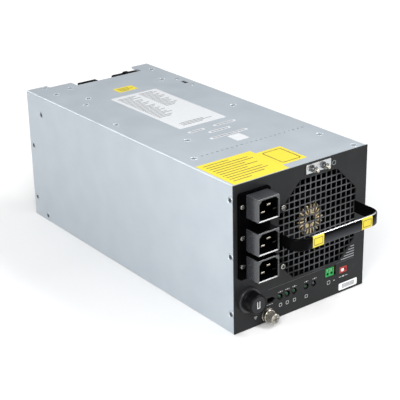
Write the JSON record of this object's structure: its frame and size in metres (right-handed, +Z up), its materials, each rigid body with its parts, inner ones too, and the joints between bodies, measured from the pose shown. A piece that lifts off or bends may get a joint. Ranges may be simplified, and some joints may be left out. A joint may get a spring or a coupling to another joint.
{
  "type": "ac power supply",
  "caption": "Slide-in AC power supply in a long galvanised steel case, with a dark front panel that carries mains inlets, a vent grille, a strap handle and a rotary switch.",
  "frame": {"origin": "middle of the flat underside of the case", "axes": "+Z up, -Y out of the front panel, +X to the right of someone facing the panel"},
  "size_m": [0.208, 0.5095, 0.1883],
  "materials": {
    "galvanised_sheet": "bright galvanised sheet, satin",
    "zinc_flake": "satin zinc flake coat",
    "black_oxide": "blackened steel, oiled",
    "tinned_plate": "bright tin plate",
    "panel_paint": "satin charcoal powder coat",
    "handle_paint": "gloss black paint",
    "black_plastic": "moulded, fine grain",
    "inlet_plastic": "moulded, smooth dark grey",
    "grey_plastic": "moulded, smooth",
    "plated_steel": "bright zinc plate",
    "plated_brass": "bright plated",
    "copper": "bare and enamelled copper",
    "green_lens": "tinted lens",
    "clear_lens": "clear lens",
    "green_plastic": "moulded",
    "red_plastic": "moulded",
    "white_plastic": "moulded",
    "circuit_board": "green lacquer",
    "dark_board": "black lacquer",
    "black_aluminium": "extruded, black anodised",
    "ferrite": "dark ceramic",
    "powdered_iron": "cream coated powdered iron",
    "capacitor_sleeve": "shrink sleeve"
  },
  "bodies": {
    "chassis": {"ac_inlet_bottom": "inlet_plastic", "ac_inlet_middle": "inlet_plastic", "ac_inlet_top": "inlet_plastic", "alarm_switch_body": "red_plastic", "aperture_insert": "black_plastic", "base_tray": "galvanised_sheet", "board_posts": "plated_steel", "board_standoffs": "plated_steel", "bulk_capacitors": "capacitor_sleeve", "bus_bars": "copper", "captive_ferrule": "plated_steel", "choke_core": "powdered_iron", "choke_winding": "copper", "cover_screws": "zinc_flake", "fan_frame_left": "black_plastic", "fan_frame_right": "black_plastic", "fan_guard_left": "plated_steel", "fan_guard_right": "plated_steel", "fan_screws": "plated_steel", "filter_board": "dark_board", "front_panel": "panel_paint", "ground_nuts": "plated_steel", "ground_plate": "tinned_plate", "ground_studs": "plated_steel", "handle": "handle_paint", "heatsink_left": "black_aluminium", "heatsink_right": "black_aluminium", "indicator_board": "circuit_board", "inlet_blades": "plated_brass", "inlet_plate": "black_plastic", "inlet_screws": "plated_steel", "led_lens_clear": "clear_lens", "led_lenses_green": "green_lens", "main_board": "circuit_board", "nut_strip": "black_oxide", "outer_cover": "galvanised_sheet", "output_connector_left": "black_plastic", "output_connector_right": "black_plastic", "output_contacts": "plated_brass", "panel_screws": "plated_steel", "rear_bracket_left": "galvanised_sheet", "rear_bracket_right": "galvanised_sheet", "rear_panel": "galvanised_sheet", "side_screws": "zinc_flake", "strip_rivets": "zinc_flake", "switch_bezel": "black_plastic", "switch_body": "black_plastic", "terminal_block": "green_plastic", "terminal_screws": "plated_steel", "transformer_core": "ferrite", "transformer_winding": "copper"},
    "knob": {"switch_knob": "black_plastic", "knob_cap": "grey_plastic"},
    "captive_ring": {"captive_clip": "plated_steel"},
    "captive_bolt": {"captive_screw": "plated_steel"},
    "left_rotor": {"fan_rotor_left": "black_plastic"},
    "right_rotor": {"fan_rotor_right": "black_plastic"},
    "alarm_key": {"alarm_slider": "white_plastic"}
  },
  "joints": [
    {"name": "knob_turn", "type": "hinge", "parent": "chassis", "child": "knob", "pos_m": [-0.0828, -0.232, 0.0398], "axis": [0, -1, 0], "range_deg": [0, 90]},
    {"name": "captive_slide", "type": "slide", "parent": "chassis", "child": "captive_ring", "axis": [0, 1, 0], "range_m": [0, 0.0045]},
    {"name": "captive_turn", "type": "hinge", "parent": "captive_ring", "child": "captive_bolt", "pos_m": [-0.0543, -0.232, 0.0102], "axis": [0, 1, 0], "continuous": true},
    {"name": "left_fan_spin", "type": "hinge", "parent": "chassis", "child": "left_rotor", "pos_m": [-0.0475, 0.2, 0.0605], "axis": [0, 1, 0], "continuous": true},
    {"name": "right_fan_spin", "type": "hinge", "parent": "chassis", "child": "right_rotor", "pos_m": [0.0475, 0.2, 0.0605], "axis": [0, 1, 0], "continuous": true},
    {"name": "alarm_slide", "type": "slide", "parent": "chassis", "child": "alarm_key", "axis": [1, 0, 0], "range_m": [0, 0.003]}
  ]
}
